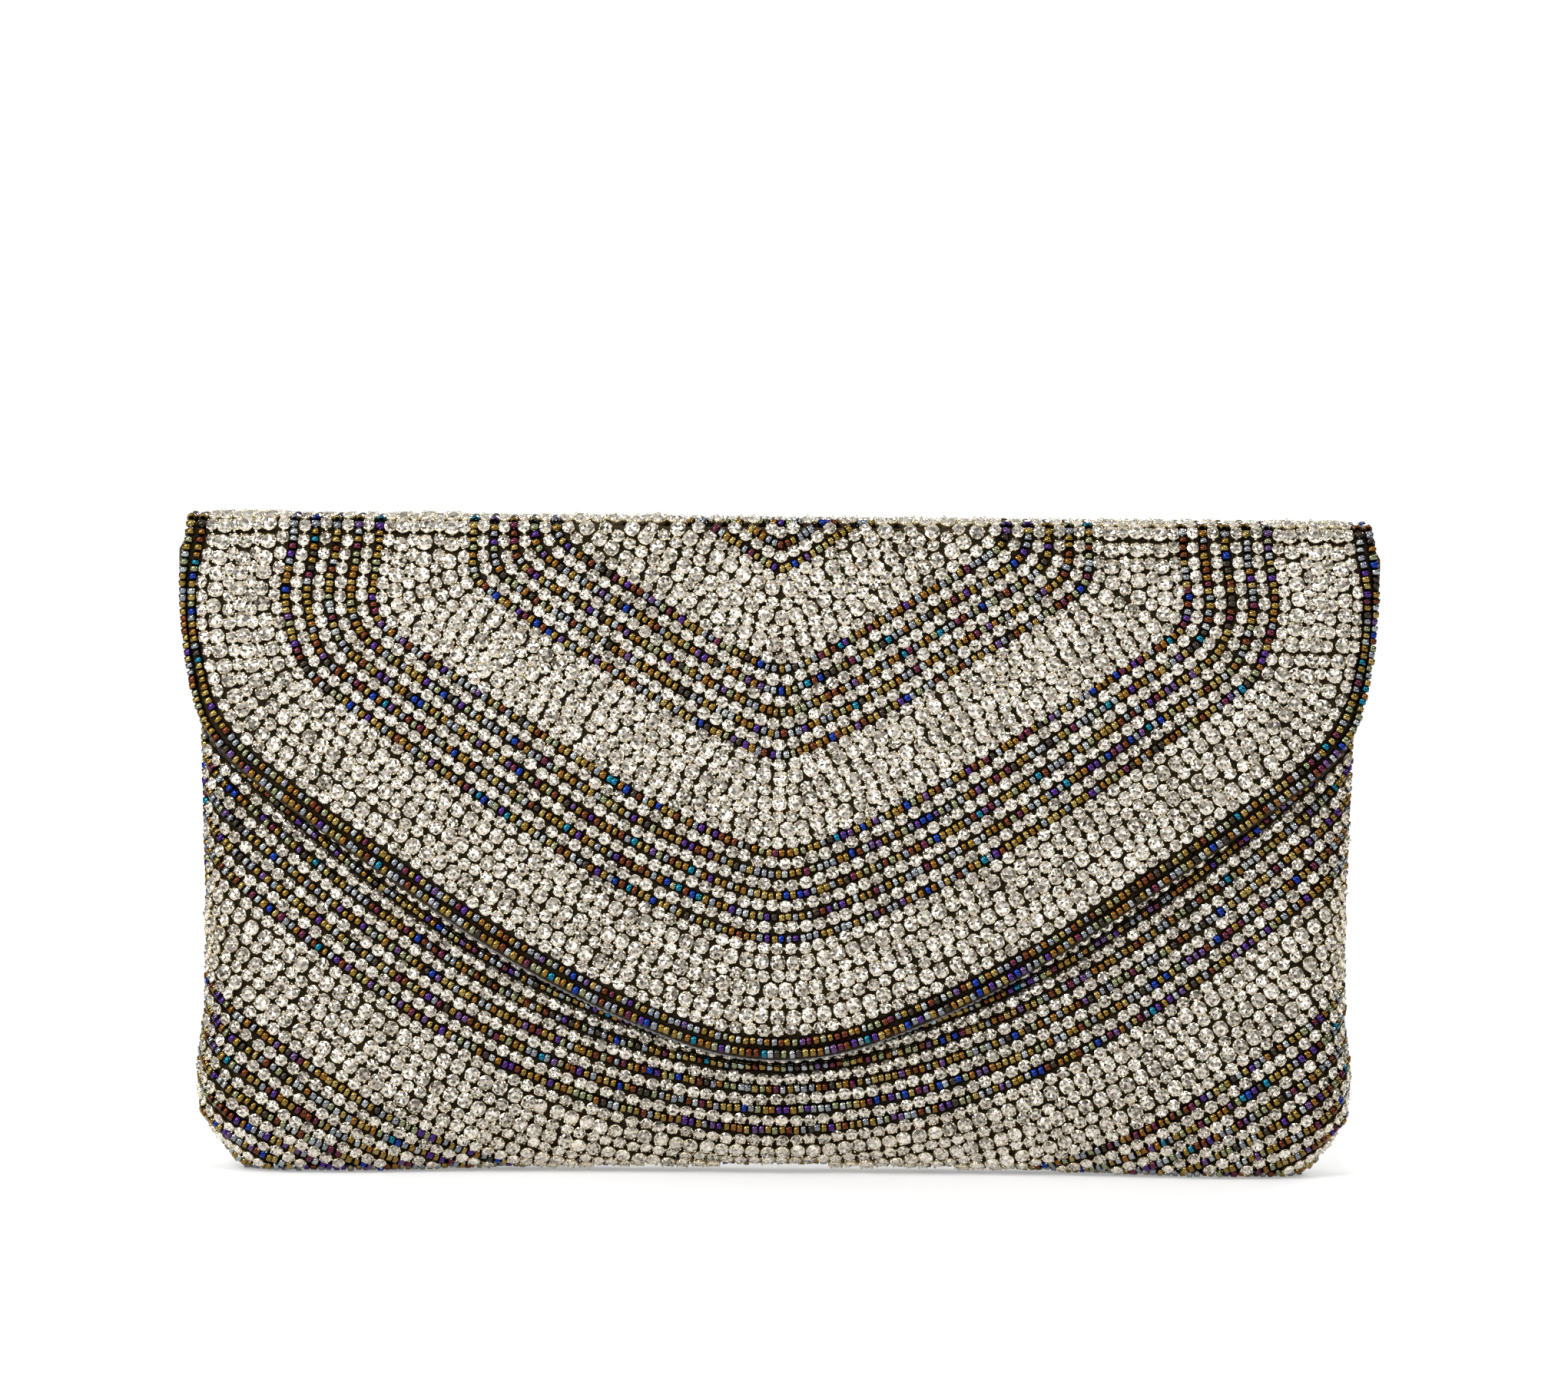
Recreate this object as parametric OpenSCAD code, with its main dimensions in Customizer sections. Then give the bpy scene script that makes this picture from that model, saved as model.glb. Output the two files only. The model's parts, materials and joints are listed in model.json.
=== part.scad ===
// Beaded envelope clutch purse that stands upright on its base.
// Origin: middle of the base, on the surface it stands on. +Z up, the flap's side faces -Y.

/* [Body] */
// Width of the body's cloth between its side seams
body_w = 258; // [250:1:262]
// Height of the mouth above the surface
mouth_h = 145; // [140:1:150]
// Depth of the body's cloth where it is fullest
body_d = 24; // [22:0.5:26]
// Depth of the body's cloth at the mouth
mouth_d = 12; // [11.5:0.5:13]
// Height at which the body is fullest
full_h = 38; // [34:1:42]
// Depth of the flat of the base
base_d = 14; // [12:0.5:16]
// Rise of the bottom edge in the middle of its length
arch_h = 4.2; // [2:0.2:5]

/* [Flap] */
// Width of the flap
flap_w = 270; // [266:1:274]
// Height of the flap's point above the surface
tip_h = 28; // [24:1:34]
// Angle at which the flap stands off the upright
flap_tilt = 4.8; // [4.5:0.1:5.2]

/* [Layers] */
// Thickness of the backing cloth
cloth_t = 0.7; // [0.6:0.05:0.8]
// Thickness of the body's stiffening boards
board_t = 1.2; // [1:0.05:1.3]
// Thickness of the lining
lining_t = 0.5; // [0.4:0.05:0.6]
// Height of the beadwork above the cloth
bead_t = 2; // [1.8:0.05:2.1]
// Diameter of the twisted cord along the flap's edge
cord_d = 1.6; // [1.4:0.1:1.8]

/* [Bands] */
// Width of the seed-bead border round the flap's edge
border_band = 5.2; // [4.8:0.1:5.6]
// Width of a band of seven stone rows
stone_band = 20; // [19.2:0.2:20.8]
// Width of a band of five bead rows and four stone rows
bead_band = 20.4; // [19.6:0.2:21.2]

/* [Magnetic snap] */
// Diameter of both halves of the snap
snap_d = 18; // [16:1:20]
// Height of the snap's middle above the surface
snap_h = 60; // [56:1:66]

/* [Hidden] */

gap = 0.1;            // air between two layers
reach = 400;          // length of a cutting slab, longer than the purse
seam_half = 2;        // half width of the bead rows along a seam
seam_gap = 0.15;      // half the air between the front and back halves
cloth_base = bead_t + gap;              // height of the cloth above the surface
lining_in = cloth_t + board_t + 2 * gap; // depth of the lining's outer face

// Layers of the flap and of the top strip, measured outwards from their fold lines
flap_lining_w = [-1.3, -0.8];
flap_board_w = [-0.75, 0.05];
flap_cloth_w = [0.1, 0.75];
flap_bead_w = [0.8, 0.8 + bead_t];
fold_lining_z = [-0.7, -0.3];
fold_cloth_z = [-0.2, 0.7];
fold_edge = 1;        // clear of a fold line on each side
border_inset = 1.2;   // board and lining stop this far inside the flap's edge

// The two fold lines, and the body's middle plane, which puts the origin under the middle
fold_z = mouth_h + 2.6;
flap_drop = (fold_z - tip_h) / cos(flap_tilt);
front_fold_in = mouth_d / 2 + 2.7;
front_reach = front_fold_in + flap_drop * sin(flap_tilt) + flap_bead_w[1] * cos(flap_tilt);
back_reach = body_d / 2 + bead_t;
mid_y = (front_reach - back_reach) / 2;
rear_fold_y = mid_y + mouth_d / 2 + 0.6;
front_fold_y = mid_y - front_fold_in;

// Colours
dark_cloth = [0.16, 0.13, 0.11];
grey_board = [0.62, 0.58, 0.5];
satin = [0.13, 0.12, 0.13];
bronze = [0.45, 0.38, 0.25];
crystal = [0.88, 0.87, 0.84];
silver = [0.72, 0.72, 0.73];
nickel = [0.8, 0.79, 0.76];

// ---- outline of the flap's edge ----

// Direction of the edge, in degrees from level, against the length along it from the point
turn = [[0, 0], [22, 20], [75, 33], [139, 37], [159, 78], [187, 90]];
edge_length = 187;
edge_steps = 34;
step = edge_length / edge_steps;
function direction(i) = lookup(i * step, turn);
walk = [
    for (i = 0, p = [0, 0]; i <= edge_steps;
         p = p + step * [cos(direction(i + 0.5)), sin(direction(i + 0.5))], i = i + 1) p
];
edge_scale = flap_w / 2 / walk[edge_steps].x;
half_edge = [for (p = walk) [p.x * edge_scale, p.y]];
function mirrored(points) = [for (i = [len(points) - 1:-1:1]) [-points[i].x, points[i].y]];

// The flap's outline from its point at 0 up to a line at the height given
module flap_outline(top) {
    polygon(concat(
        [[-flap_w / 2, top]], mirrored(half_edge), half_edge, [[flap_w / 2, top]]
    ));
}

middle = flap_w;      // a band that runs in this far fills the middle of the pattern
// What lies more than the distance given inside the outline's edge, negative outside it
module inside(by, top) {
    offset(delta = -by) flap_outline(top + by);
}
// The part of the outline between two distances inside its edge
module band(outer, inner, top) {
    difference() {
        inside(outer, top);
        if (inner < flap_w / 2) inside(inner, top + 1);
    }
}

// Where each band starts, counted inwards from the flap's edge
band_pair = stone_band + bead_band;
function stones_from(n) = border_band + n * band_pair;
function beads_from(n) = stones_from(n) + stone_band;

// ---- body ----

// Moves every corner of an outline that runs anticlockwise inwards by the distance given
function side_normal(a, b) = let (d = (b - a) / norm(b - a)) [-d.y, d.x];
function inset(points, by) = [
    for (i = [0:len(points) - 1])
        let (
            last = points[(i + len(points) - 1) % len(points)],
            next = points[(i + 1) % len(points)],
            m = side_normal(last, points[i]),
            n = side_normal(points[i], next)
        ) points[i] + by * (m + n) / (1 + m * n)
];

above = 20;           // the slabs run this far past the mouth
wall_slope = (body_d - mouth_d) / 2 / (mouth_h - full_h);
base_turn = 7;        // facets of the rounding under the body's lower front

// Cross section of the body, half depth against height
base_points = [
    for (i = [0:base_turn])
        let (a = 90 * i / base_turn)
            [base_d / 2 + (body_d - base_d) / 2 * pow(sin(a), 0.9),
             full_h - (full_h - cloth_base) * pow(cos(a), 0.9)]
];
half_section = concat(
    base_points,
    [[mouth_d / 2 - wall_slope * above, mouth_h + above]]
);
section = concat(
    half_section,
    [for (i = [len(half_section) - 1:-1:0]) [-half_section[i].x, half_section[i].y]]
);

// Front view of the body: arched bottom edge, pushed-in bottom corners, upright sides
foot_in = body_w / 2 - 31;
foot_out = body_w / 2 - 10;
arch_steps = 8;
half_front = concat(
    [for (i = [1:arch_steps])
        let (t = i / arch_steps)
            [foot_in * t, cloth_base + arch_h * (1 + cos(180 * t)) / 2]],
    [[foot_out, cloth_base],
     [body_w / 2, cloth_base + 19],
     [body_w / 2 - 1, cloth_base + 32],
     [body_w / 2 - 1, mouth_h - 50],
     [body_w / 2 + 2, mouth_h],
     [body_w / 2 + 2, mouth_h + above]]
);
front_view = concat(
    [[0, cloth_base + arch_h]], half_front,
    [for (i = [len(half_front) - 1:-1:0]) [-half_front[i].x, half_front[i].y]]
);

// Plan of the body: the cloth rolls round to a seam along each side
roll = 14;
roll_steps = 6;
half_plan = [
    for (i = [-roll_steps:roll_steps])
        let (a = 90 * i / roll_steps)
            [body_w / 2 + 3 - roll + roll * cos(a),
             (body_d / 2 + 0.5) * sin(a)]
];
plan = concat(half_plan, [for (i = [len(half_plan) - 1:-1:0]) [-half_plan[i].x, half_plan[i].y]]);

module along_x(points) {
    rotate([90, 0, 90]) linear_extrude(reach, center = true) polygon(points);
}
module along_y(points) {
    rotate([90, 0, 0]) linear_extrude(reach, center = true) polygon(points);
}
module along_z(points) {
    linear_extrude(reach, center = true) polygon(points);
}

// The body as a solid, with its whole surface moved inwards by the distance given
module body_solid(by) {
    translate([0, mid_y, 0]) intersection() {
        along_x(inset(section, by));
        along_y(inset(front_view, by));
        along_z(inset(plan, by));
    }
}
// A block between two corners, with depths counted from the body's middle plane
module block(low, high) {
    translate(low + [0, mid_y, 0]) cube(high - low);
}
// One layer of the body between two depths under its surface, cut to a block
module layer(outer, inner, low, high) {
    intersection() {
        difference() {
            body_solid(outer);
            body_solid(inner);
        }
        block(low, high);
    }
}
wide = body_w / 2 + 10;
deep = body_d / 2 + 10;
module front_layer(outer, inner) {
    layer(outer, inner, [-wide, -deep, -1], [wide, -seam_gap, mouth_h]);
}
back_top = fold_z - fold_edge;
module back_layer(outer, inner) {
    layer(outer, inner, [-wide, seam_gap, -1], [wide, deep, back_top]);
}
board_in = cloth_t + gap;
board_half_w = body_w / 2 - 12;
board_low = 16;
washer_r = snap_d / 2 - 1;
washer_t = 0.5;
front_slope = atan(wall_slope);
snap_wall_y = -(mouth_d / 2 + wall_slope * (mouth_h - snap_h));

// Turns its children so that +Z points out of the front wall, at the snap
module on_front_wall() {
    translate([0, mid_y + snap_wall_y, snap_h]) rotate([90 - front_slope, 0, 0]) children();
}

module front_panel() {
    color(dark_cloth) front_layer(0, cloth_t);
}
module front_board() {
    color(grey_board) difference() {
        layer(board_in, board_in + board_t,
              [-board_half_w, -deep, board_low], [board_half_w, 0, mouth_h - 1]);
        on_front_wall() translate([0, 0, -lining_in - 1])
            cylinder(r = washer_r + 0.3, h = 1 + gap + washer_t + gap, $fn = 48);
    }
}
module front_lining() {
    color(satin) front_layer(lining_in, lining_in + lining_t);
}
module front_mouth_binding() {
    binding_w = body_w / 2 - 6;
    color(dark_cloth)
        block([-binding_w, -mouth_d / 2, mouth_h + gap],
              [binding_w, -mouth_d / 2 + lining_in + lining_t, mouth_h + 1.1]);
}
module back_panel() {
    color(dark_cloth) back_layer(0, cloth_t);
}
module back_board() {
    color(grey_board)
        layer(board_in, board_in + board_t,
              [-board_half_w, 0, board_low], [board_half_w, deep, mouth_h - 1]);
}
module back_lining() {
    color(satin) back_layer(lining_in, lining_in + lining_t);
}
module slip_pocket() {
    pocket_in = lining_in + lining_t + gap;
    color(satin)
        layer(pocket_in, pocket_in + lining_t, [-62, 2, 46], [62, deep, mouth_h - 18]);
}
module base_board() {
    color(grey_board)
        layer(board_in, board_in + board_t,
              [-foot_in - 6, -base_d / 2 + 2, -1], [foot_in + 6, base_d / 2 - 2, 14]);
}
socket_t = 2.4;
stud_r = 2;
stud_hole_r = 2.8;
module snap_socket() {
    color(nickel) on_front_wall() difference() {
        translate([0, 0, 0.05]) cylinder(d = snap_d, h = socket_t, $fn = 64);
        translate([0, 0, 0.55]) cylinder(r = stud_hole_r, h = socket_t, $fn = 48);
    }
}
module socket_washer() {
    color(nickel) on_front_wall() translate([0, 0, -lining_in + gap])
        cylinder(r = washer_r, h = washer_t, $fn = 48);
}

// ---- beadwork on the body ----

bead_gap = 0.05;
module seam_layer(low, high) {
    layer(-cloth_base, -bead_gap, low, high);
}
side_low = 24;        // the side rows of beads end here and the base's rows take over
base_half = base_d / 2 - 1;
module left_seam_beads() {
    color(bronze)
        seam_layer([-wide, -seam_half, side_low], [-body_w / 2 + 20, seam_half, mouth_h]);
}
module right_seam_beads() {
    color(bronze)
        seam_layer([body_w / 2 - 20, -seam_half, side_low], [wide, seam_half, mouth_h]);
}
module base_beads() {
    color(bronze) seam_layer([-wide, -base_half, -1], [wide, base_half, side_low - 0.2]);
}

// The pattern runs on under the curve of the lower body, so its lower part is shortened
curve_from = 28;
curve_shorten = 0.68;
pattern_top = mouth_h + 1 - tip_h;
// The part of a band that shows on the body, seen square from the front
module body_band(outer, inner) {
    rotate([90, 0, 0]) linear_extrude(reach, center = true) {
        intersection() {
            translate([0, tip_h]) band(outer, inner, pattern_top);
            translate([-wide, curve_from]) square([2 * wide, mouth_h]);
        }
        if (outer < 0) translate([0, curve_from]) scale([1, curve_shorten]) intersection() {
            translate([0, tip_h - curve_from]) band(outer, inner, pattern_top);
            translate([-wide, -100]) square([2 * wide, 100.01]);
        }
    }
}
band_gap = 0.1;
// The beadwork of one side, in front of the middle plane or behind it, clear of the seams
module side_layer(front, top) {
    for (part = [[seam_half + gap, side_low - 0.1, top], [base_half + gap, -1, side_low - 0.1]])
        layer(-bead_t, -bead_gap,
              [-wide, front ? -deep : part[0], part[1]],
              [wide, front ? -part[0] : deep, part[2]]);
}
front_bead_top = 112; // the front's beadwork ends here, well under the flap
module front_band(outer, inner) {
    intersection() {
        side_layer(true, front_bead_top);
        body_band(outer + band_gap, inner - band_gap);
    }
}
module back_band(outer, inner) {
    intersection() {
        side_layer(false, back_top);
        body_band(outer + band_gap, inner - band_gap);
    }
}
under_flap = 10;      // the front's beadwork runs this far in under the flap
rim = -bead_band;     // the front's upper beads end here, measured out from the flap's edge
rim_low = rim - stone_band;
back_rim = stones_from(0) - bead_band;
back_rim_low = back_rim - stone_band;
corner = -140;        // past the purse's bottom corners
module front_upper_beads() { color(bronze) front_band(rim, under_flap); }
module front_stones() { color(crystal) front_band(rim_low, rim); }
module front_lower_beads() { color(bronze) front_band(corner, rim_low); }
module back_inner_beads() { color(bronze) back_band(beads_from(2), middle); }
module back_inner_stones() { color(crystal) back_band(stones_from(2), beads_from(2)); }
module back_middle_beads() { color(bronze) back_band(beads_from(1), stones_from(2)); }
module back_middle_stones() { color(crystal) back_band(stones_from(1), beads_from(1)); }
module back_outer_beads() { color(bronze) back_band(beads_from(0), stones_from(1)); }
module back_outer_stones() { color(crystal) back_band(stones_from(0), beads_from(0)); }
module back_rim_beads() { color(bronze) back_band(back_rim, stones_from(0)); }
module back_rim_stones() { color(crystal) back_band(back_rim_low, back_rim); }
module back_lower_beads() { color(bronze) back_band(corner, back_rim_low); }

// ---- strip over the top fold ----

strip_half_w = flap_w / 2;
strip_back = rear_fold_y - fold_edge;
strip_front = front_fold_y + fold_edge;
module strip_part(left, right, height) {
    translate([left, strip_front, fold_z + height[0]])
        cube([right - left, strip_back - strip_front, height[1] - height[0]]);
}
hem = 0.6;            // the cloth's rounded hems lie this far inside the fold lines
module fold_cloth() {
    color(dark_cloth) {
        strip_part(-strip_half_w, strip_half_w, fold_cloth_z);
        for (y = [rear_fold_y, front_fold_y])
            translate([0, y + (y > mid_y ? -hem : hem), fold_z + (fold_cloth_z[0] + fold_cloth_z[1]) / 2])
                rotate([0, 90, 0])
                    cylinder(d = fold_cloth_z[1] - fold_cloth_z[0], h = 2 * strip_half_w,
                             center = true, $fn = 24);
    }
}
module fold_lining() {
    color(satin) strip_part(-strip_half_w + 2, strip_half_w - 2, fold_lining_z);
}
strip_bead_z = [fold_cloth_z[1] + bead_gap, fold_cloth_z[1] + bead_gap + bead_t];
// Where the bands of the flap reach the fold, counted in from its side edges
stone_starts = [for (n = [0:2]) stones_from(n)];
bead_starts = [for (n = [0:2]) beads_from(n)];
module fold_stones() {
    color(crystal) for (s = stone_starts, side = [-1, 1])
        let (a = side * (strip_half_w - s), b = side * (strip_half_w - s - stone_band + band_gap))
            strip_part(min(a, b), max(a, b), strip_bead_z);
}
module fold_beads() {
    color(bronze) {
        for (side = [-1, 1]) {
            rim_in = side * (strip_half_w - border_band + band_gap);
            strip_part(min(side * strip_half_w, rim_in), max(side * strip_half_w, rim_in),
                       strip_bead_z);
            for (s = [bead_starts[0], bead_starts[1]])
                let (a = side * (strip_half_w - s),
                     b = side * (strip_half_w - s - bead_band + band_gap))
                    strip_part(min(a, b), max(a, b), strip_bead_z);
        }
        strip_part(bead_starts[2] - strip_half_w, strip_half_w - bead_starts[2], strip_bead_z);
    }
}

// ---- flap ----

// Turns its children from the flap's plane, x and up, with +Z out of the purse
module on_flap(outwards) {
    translate([0, front_fold_y, fold_z]) rotate([90 - flap_tilt, 0, 0])
        translate([0, 0, outwards[0]]) linear_extrude(outwards[1] - outwards[0])
            intersection() {
                translate([0, -flap_drop]) children();
                translate([-wide, -flap_drop - 10]) square([2 * wide, flap_drop + 10 - fold_edge]);
            }
}
module flap_band(outer, inner) {
    on_flap(flap_bead_w) band(outer + band_gap, inner - band_gap, flap_drop + 5);
}
module flap_panel() {
    color(dark_cloth) on_flap(flap_cloth_w) flap_outline(flap_drop + 5);
}
stud_lift = 0.35;     // keeps the slanting stud in the middle of its hole
snap_along = (fold_z - snap_h - stud_lift) / cos(flap_tilt);
// Turns its children so that +Z points out of the flap, at the snap
module on_flap_snap() {
    translate([0, front_fold_y, fold_z]) rotate([90 - flap_tilt, 0, 0])
        translate([0, -snap_along, 0]) children();
}
module flap_board() {
    color(grey_board) difference() {
        on_flap(flap_board_w) offset(delta = -border_inset) flap_outline(flap_drop + 5);
        on_flap_snap() translate([0, 0, flap_board_w[0] - 1])
            cylinder(r = washer_r + 0.3, h = 1.45, $fn = 48);
    }
}
module flap_lining() {
    color(satin) on_flap(flap_lining_w)
        offset(delta = -border_inset) flap_outline(flap_drop + 5);
}
module flap_border_beads() { color(bronze) flap_band(0, border_band); }
module flap_outer_stones() { color(crystal) flap_band(stones_from(0), beads_from(0)); }
module flap_outer_beads() { color(bronze) flap_band(beads_from(0), stones_from(1)); }
module flap_middle_stones() { color(crystal) flap_band(stones_from(1), beads_from(1)); }
module flap_middle_beads() { color(bronze) flap_band(beads_from(1), stones_from(2)); }
module flap_inner_stones() { color(crystal) flap_band(stones_from(2), beads_from(2)); }
module flap_inner_beads() { color(bronze) flap_band(beads_from(2), middle); }

// Twisted cord sewn along the flap's edge, under the border beads
cord_sides = 8;
cord_route = concat(mirrored(half_edge), half_edge);
module flap_edge_cord() {
    last = len(cord_route) - 1;
    rings = [
        for (i = [0:last])
            let (
                before = cord_route[max(i - 1, 0)],
                after = cord_route[min(i + 1, last)],
                n = side_normal(before, after)
            )
                for (k = [0:cord_sides - 1])
                    let (a = 360 * k / cord_sides, r = cord_d / 2 * cos(a))
                        [cord_route[i].x + n.x * r, cord_route[i].y + n.y * r,
                         cord_d / 2 * sin(a)]
    ];
    walls = [
        for (i = [0:last - 1], k = [0:cord_sides - 1])
            let (a = i * cord_sides + k, b = i * cord_sides + (k + 1) % cord_sides)
                each [[a, b, b + cord_sides], [a, b + cord_sides, a + cord_sides]]
    ];
    first_cap = [for (k = [cord_sides - 1:-1:0]) k];
    last_cap = [for (k = [0:cord_sides - 1]) last * cord_sides + k];
    color(silver) translate([0, front_fold_y, fold_z]) rotate([90 - flap_tilt, 0, 0])
        translate([0, -flap_drop, -cord_d / 2])
            polyhedron(rings, concat(walls, [first_cap, last_cap]));
}

stud_t = 1;
stud_post = 1.5;
module snap_stud() {
    color(nickel) on_flap_snap() translate([0, 0, flap_lining_w[0] - bead_gap]) {
        translate([0, 0, -stud_t]) cylinder(d = snap_d, h = stud_t, $fn = 64);
        translate([0, 0, -stud_t - stud_post]) cylinder(r = stud_r, h = stud_post + 0.1, $fn = 48);
    }
}
module stud_washer() {
    color(nickel) on_flap_snap() translate([0, 0, flap_board_w[0] + 0.02])
        cylinder(r = washer_r, h = 0.35, $fn = 48);
}

front_panel();
front_board();
front_lining();
front_mouth_binding();
back_panel();
back_board();
back_lining();
slip_pocket();
base_board();
snap_socket();
socket_washer();
left_seam_beads();
right_seam_beads();
base_beads();
front_upper_beads();
front_stones();
front_lower_beads();
back_inner_beads();
back_inner_stones();
back_middle_beads();
back_middle_stones();
back_outer_beads();
back_outer_stones();
back_rim_beads();
back_rim_stones();
back_lower_beads();
fold_cloth();
fold_lining();
fold_stones();
fold_beads();
flap_panel();
flap_board();
flap_lining();
flap_edge_cord();
flap_border_beads();
flap_outer_stones();
flap_outer_beads();
flap_middle_stones();
flap_middle_beads();
flap_inner_stones();
flap_inner_beads();
snap_stud();
stud_washer();
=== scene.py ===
"""Beaded envelope clutch: cloth, lining, seed beads, cup-chain stones and trim round the CAD frame."""
import json
import math

import bpy
import numpy as np
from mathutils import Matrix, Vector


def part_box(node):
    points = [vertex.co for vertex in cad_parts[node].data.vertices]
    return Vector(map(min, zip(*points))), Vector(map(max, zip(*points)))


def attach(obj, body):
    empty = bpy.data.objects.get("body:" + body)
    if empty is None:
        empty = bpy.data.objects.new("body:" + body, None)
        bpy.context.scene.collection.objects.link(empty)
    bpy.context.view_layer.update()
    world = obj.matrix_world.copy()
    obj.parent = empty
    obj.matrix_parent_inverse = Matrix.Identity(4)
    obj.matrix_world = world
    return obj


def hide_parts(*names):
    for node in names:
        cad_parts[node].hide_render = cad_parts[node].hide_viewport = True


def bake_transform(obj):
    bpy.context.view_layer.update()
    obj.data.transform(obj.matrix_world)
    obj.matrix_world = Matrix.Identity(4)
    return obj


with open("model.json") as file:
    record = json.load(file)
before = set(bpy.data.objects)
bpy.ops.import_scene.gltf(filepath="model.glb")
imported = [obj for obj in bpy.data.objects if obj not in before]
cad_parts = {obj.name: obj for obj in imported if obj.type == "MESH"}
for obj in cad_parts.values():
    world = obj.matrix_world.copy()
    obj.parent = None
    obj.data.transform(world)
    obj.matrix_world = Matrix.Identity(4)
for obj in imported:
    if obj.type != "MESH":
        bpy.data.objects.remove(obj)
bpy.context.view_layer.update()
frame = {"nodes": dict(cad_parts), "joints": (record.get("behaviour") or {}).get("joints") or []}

MM = 0.001
rng = np.random.default_rng(11)


# ---- sizes in millimetres, read from the frame ----

def node_box(name):
    low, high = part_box(name)
    return np.array(low) / MM, np.array(high) / MM


joint_at = {j["name"]: np.array(j["pos_m"]) / MM for j in frame["joints"]}
FRONT_FOLD = joint_at["front_fold"]
REAR_FOLD = joint_at["rear_fold"]
FOLD_Z = FRONT_FOLD[2]
STRIP_W = REAR_FOLD[1] - FRONT_FOLD[1]

panel_low, panel_high = node_box("front_panel")
BACK_TOP = node_box("back_panel")[1][2]
seam_low, seam_high = node_box("left_seam_beads")
MID_Y = (seam_low[1] + seam_high[1]) / 2
MOUTH_Z = panel_high[2]
BASE_Z = panel_low[2]
BODY_HALF_D = MID_Y - panel_low[1]
MOUTH_HALF_W = panel_high[0]
CLOTH_T = 0.7
CLOTH_PROUD = 0.15      # the body's cloth lies this far outside the CAD's surface
MOUTH_HALF_D = {
    -1: MID_Y - node_box("front_mouth_binding")[0][1],
    1: REAR_FOLD[1] + CLOTH_T - MID_Y - CLOTH_PROUD,
}

flap_low, flap_high = node_box("flap_panel")
FLAP_HALF_W = flap_high[0]
CLOTH_OUT = 0.75        # the flap's cloth ends this far outside the fold line's plane
TILT = math.radians(4.8)
FLAP_DROP = (FOLD_Z - flap_low[2] - 0.1) / math.cos(TILT)

BEAD_D, BEAD_PITCH = 2.2, 1.60
SMALL_D, SMALL_PITCH = 2.85, 3.15
LARGE_D, LARGE_PITCH = 3.75, 3.52


# ---- small helpers ----

def smoothstep(x, low, high):
    t = np.clip((np.asarray(x, float) - low) / (high - low), 0, 1)
    return t * t * (3 - 2 * t)


def unit(v):
    return v / np.maximum(np.linalg.norm(v, axis=-1, keepdims=True), 1e-9)


def xyz(x, y, z):
    """Points from coordinates, any of which may be one number for all."""
    return np.stack(np.broadcast_arrays(x, y, z), -1)


def lengths_along(points, axis=0):
    """How far along a line, or along one axis of a grid, each point is."""
    gaps = np.linalg.norm(np.diff(points, axis=axis), axis=-1)
    return np.insert(np.cumsum(gaps, axis=axis), 0, 0, axis=axis)


def direction(azimuth, elevation):
    return np.array([math.sin(azimuth) * math.cos(elevation),
                     -math.cos(azimuth) * math.cos(elevation), math.sin(elevation)])


def add_object(name, data):
    made = bpy.data.objects.new(name, data)
    bpy.context.scene.collection.objects.link(made)
    return made


def new_piece(name, points_mm, faces, material_ids=None, materials=(), smooth=True, per_face=()):
    """A mesh object from points in millimetres and faces given as rows of corner numbers."""
    faces = [np.asarray(f) for f in faces if len(f)]
    sizes = np.concatenate([np.full(len(f), f.shape[1]) for f in faces])
    loops = np.concatenate([f.ravel() for f in faces]).astype(np.int32)
    mesh = bpy.data.meshes.new(name)
    mesh.vertices.add(len(points_mm))
    mesh.vertices.foreach_set("co", (np.asarray(points_mm) * MM).astype(np.float32).ravel())
    mesh.loops.add(len(loops))
    mesh.loops.foreach_set("vertex_index", loops)
    mesh.polygons.add(len(sizes))
    mesh.polygons.foreach_set("loop_start", np.concatenate([[0], np.cumsum(sizes)[:-1]]).astype(np.int32))
    mesh.polygons.foreach_set("use_smooth", np.broadcast_to(smooth, len(sizes)).astype(bool))
    if material_ids is not None:
        mesh.polygons.foreach_set("material_index", material_ids.astype(np.int32))
    for m in materials:
        mesh.materials.append(m)
    for label, values in dict(per_face).items():
        attribute = mesh.attributes.new(label, "FLOAT", "FACE")
        attribute.data.foreach_set("value", values.astype(np.float32))
    mesh.update(calc_edges=True)
    mesh.validate()
    return add_object(name, mesh)


def grid_faces(rows, columns, closed=False, flip=False, start=0):
    """Four-cornered faces over a grid of points, numbered row by row."""
    i = np.arange(rows - 1)[:, None]
    j = np.arange(columns if closed else columns - 1)[None, :]
    k = (j + 1) % columns
    a, b = i * columns + j, i * columns + k
    quads = np.stack([a, b, b + columns, a + columns], -1).reshape(-1, 4) + start
    return quads[:, ::-1] if flip else quads


# ---- camera ----

def make_camera():
    data = bpy.data.cameras.new("camera")
    camera = add_object("camera", data)
    view_w, distance, height = 0.355, 1.25, 0.1097
    elevation, azimuth, roll = math.radians(3.8), math.radians(-1.2), math.radians(-0.6)
    data.sensor_width = 36
    data.lens = data.sensor_width * distance / view_w
    camera.location = np.array([0, -0.010, height]) + direction(azimuth, elevation) * distance
    camera.rotation_euler = (math.pi / 2 - elevation, roll, azimuth)
    data.clip_start, data.clip_end = 0.05, 20
    bpy.context.scene.camera = camera


make_camera()


# ---- materials ----

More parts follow.
